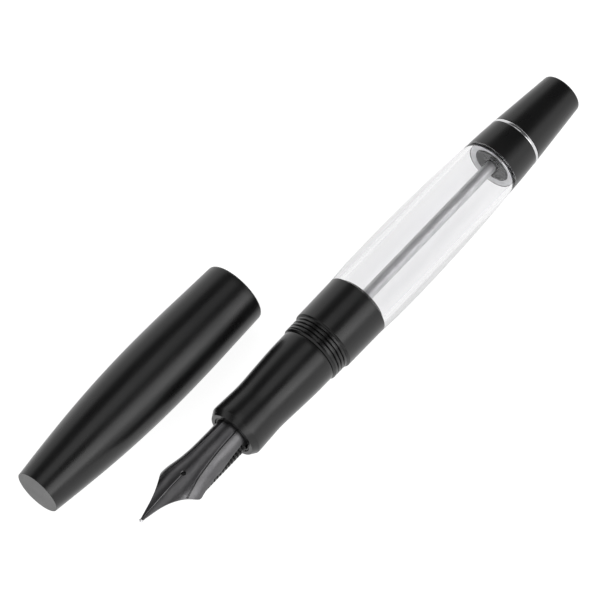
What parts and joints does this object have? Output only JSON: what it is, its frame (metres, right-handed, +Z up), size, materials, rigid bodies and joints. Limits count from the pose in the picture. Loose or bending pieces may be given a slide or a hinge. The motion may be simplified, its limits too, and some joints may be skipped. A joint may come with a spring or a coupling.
{
  "type": "fountain pen",
  "caption": "Uncapped fountain pen with finned feed, waisted grip, clear ink barrel, shut-off rod and turning end knob, its clipless cap lying beside it.",
  "frame": {"origin": "on the table, under the middle of the pen and its cap together", "axes": "+Z up; +X along the pen's axis from the nib to the knob; +Y from the pen towards the cap"},
  "size_m": [0.1404, 0.0362, 0.0154],
  "materials": {
    "black_resin": "satin black",
    "clear_acrylic": "clear, polished",
    "polished_steel": "polished",
    "gunmetal": "dark plated, polished",
    "tipping_alloy": "ground",
    "grey_seal": "glossy dark grey",
    "black_rubber": "matt",
    "brass": "turned",
    "matte_black": "matt black"
  },
  "bodies": {
    "barrel": {"barrel_tube": "clear_acrylic", "front_collar": "black_resin", "barrel_front_seal": "black_rubber", "barrel_rear_seal": "black_rubber", "rear_collar": "black_resin", "gland_ring": "polished_steel", "rod_seal_disc": "grey_seal", "rod_o_ring": "black_rubber", "trim_ring": "polished_steel"},
    "valve": {"valve_seal": "black_rubber"},
    "knob": {"knob": "black_resin", "knob_sleeve": "brass", "rod_anchor": "brass", "valve_rod": "polished_steel", "seal_retainer": "polished_steel"},
    "section_ring": {"section_o_ring": "black_rubber"},
    "section": {"section_grip": "black_resin", "valve_seat": "black_rubber", "nib_housing": "matte_black"},
    "nib_unit": {"nib": "gunmetal", "nib_tipping": "tipping_alloy", "feed": "matte_black"},
    "cap": {"cap_shell": "black_resin", "cap_liner": "matte_black"}
  },
  "joints": [
    {"name": "valve_lift", "type": "slide", "parent": "barrel", "child": "valve", "axis": [1, 0, 0], "range_m": [0, 0.003]},
    {"name": "knob_turn", "type": "hinge", "parent": "valve", "child": "knob", "pos_m": [0.06, -0.01043, 0.00768], "axis": [1, 0, 0], "range_deg": [0, 1080]},
    {"name": "section_travel", "type": "slide", "parent": "barrel", "child": "section_ring", "axis": [-1, 0, 0], "range_m": [0, 0.0036]},
    {"name": "section_turn", "type": "hinge", "parent": "section_ring", "child": "section", "pos_m": [-0.02, -0.01043, 0.00768], "axis": [-1, 0, 0], "range_deg": [0, 1440]},
    {"name": "nib_pull", "type": "slide", "parent": "section", "child": "nib_unit", "axis": [-1, 0, 0], "range_m": [0, 0.016]},
    {"name": "cap_slide", "type": "slide", "parent": "barrel", "child": "cap", "axis": [-1, 0, 0], "range_m": [0, 0.055]}
  ],
  "couplings": [
    {"joint": "valve_lift", "follows": "knob_turn", "m_per_rad": 0.000159},
    {"joint": "section_travel", "follows": "section_turn", "m_per_rad": 0.000143}
  ]
}
